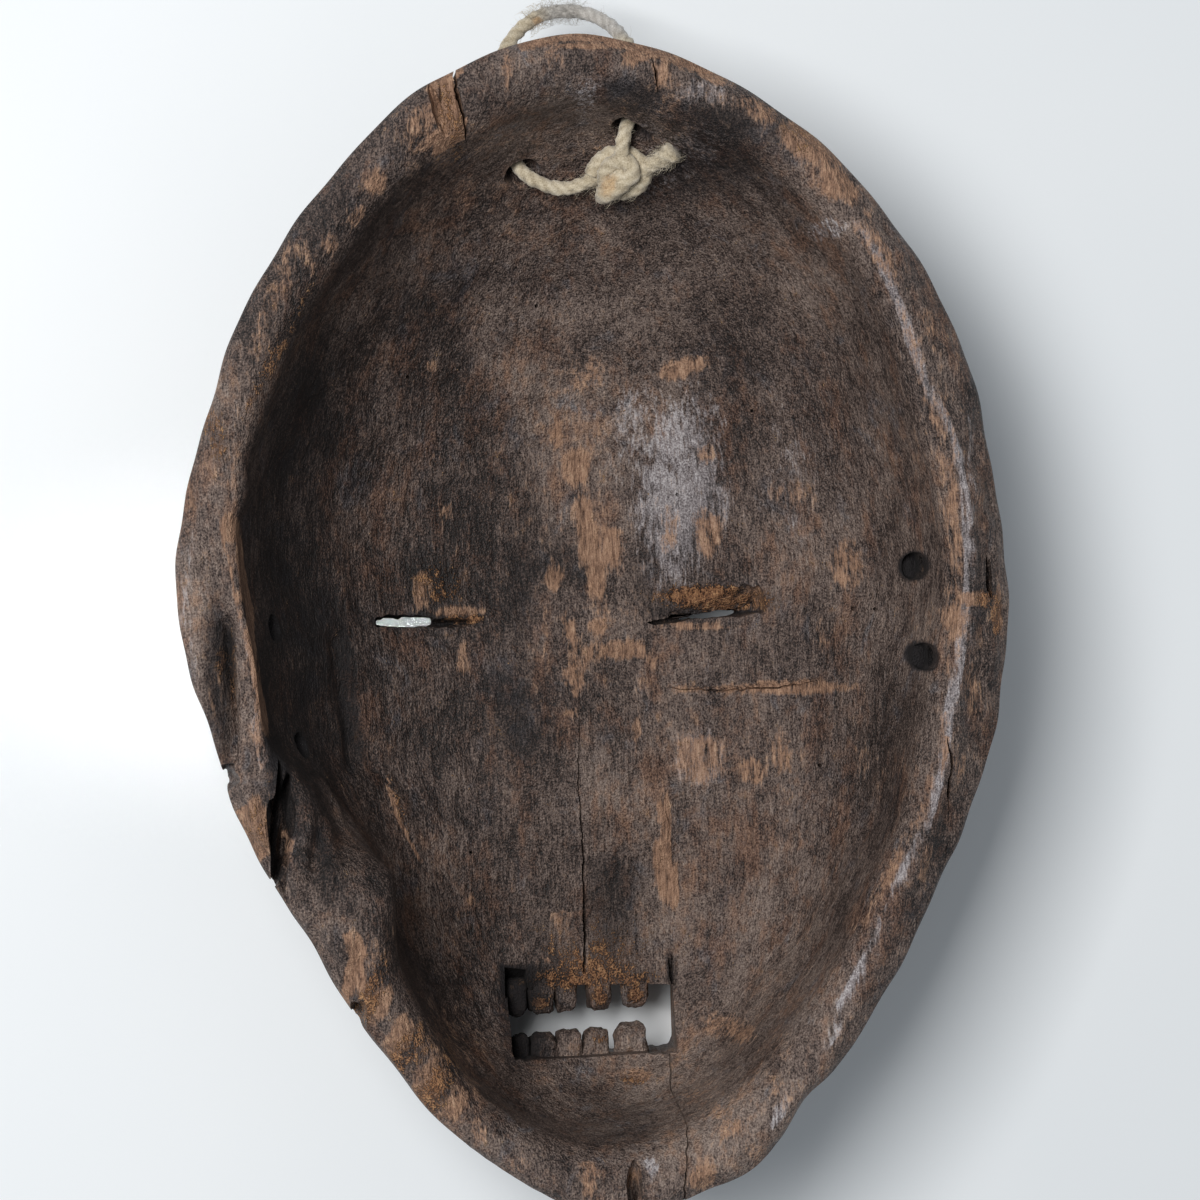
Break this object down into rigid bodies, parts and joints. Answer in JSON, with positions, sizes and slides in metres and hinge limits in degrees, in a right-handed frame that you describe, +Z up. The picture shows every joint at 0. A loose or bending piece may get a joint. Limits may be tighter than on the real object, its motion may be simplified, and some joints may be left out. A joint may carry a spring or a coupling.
{
  "type": "carved wooden face mask",
  "caption": "Deep oval wooden face mask lying on its face, hollow side up, with slit eyes, an open mouth with teeth and a knotted hanging cord.",
  "frame": {"origin": "on the ground below the middle of the mask's outline, the mask lying on its face", "axes": "+Z up out of the hollow, +Y toward the forehead end with the cord, +X to the right as the hollow side is seen from above"},
  "size_m": [0.2107, 0.3124, 0.0935],
  "materials": {
    "carved_wood": "dark smoked patina, worn to tan wood on edges and raised places",
    "cotton_cord": "off-white soft twisted string, fuzzy"
  },
  "bodies": {
    "root": {"mask": "carved_wood", "hanging_cord": "cotton_cord", "cord_knot": "cotton_cord"}
  },
  "joints": []
}
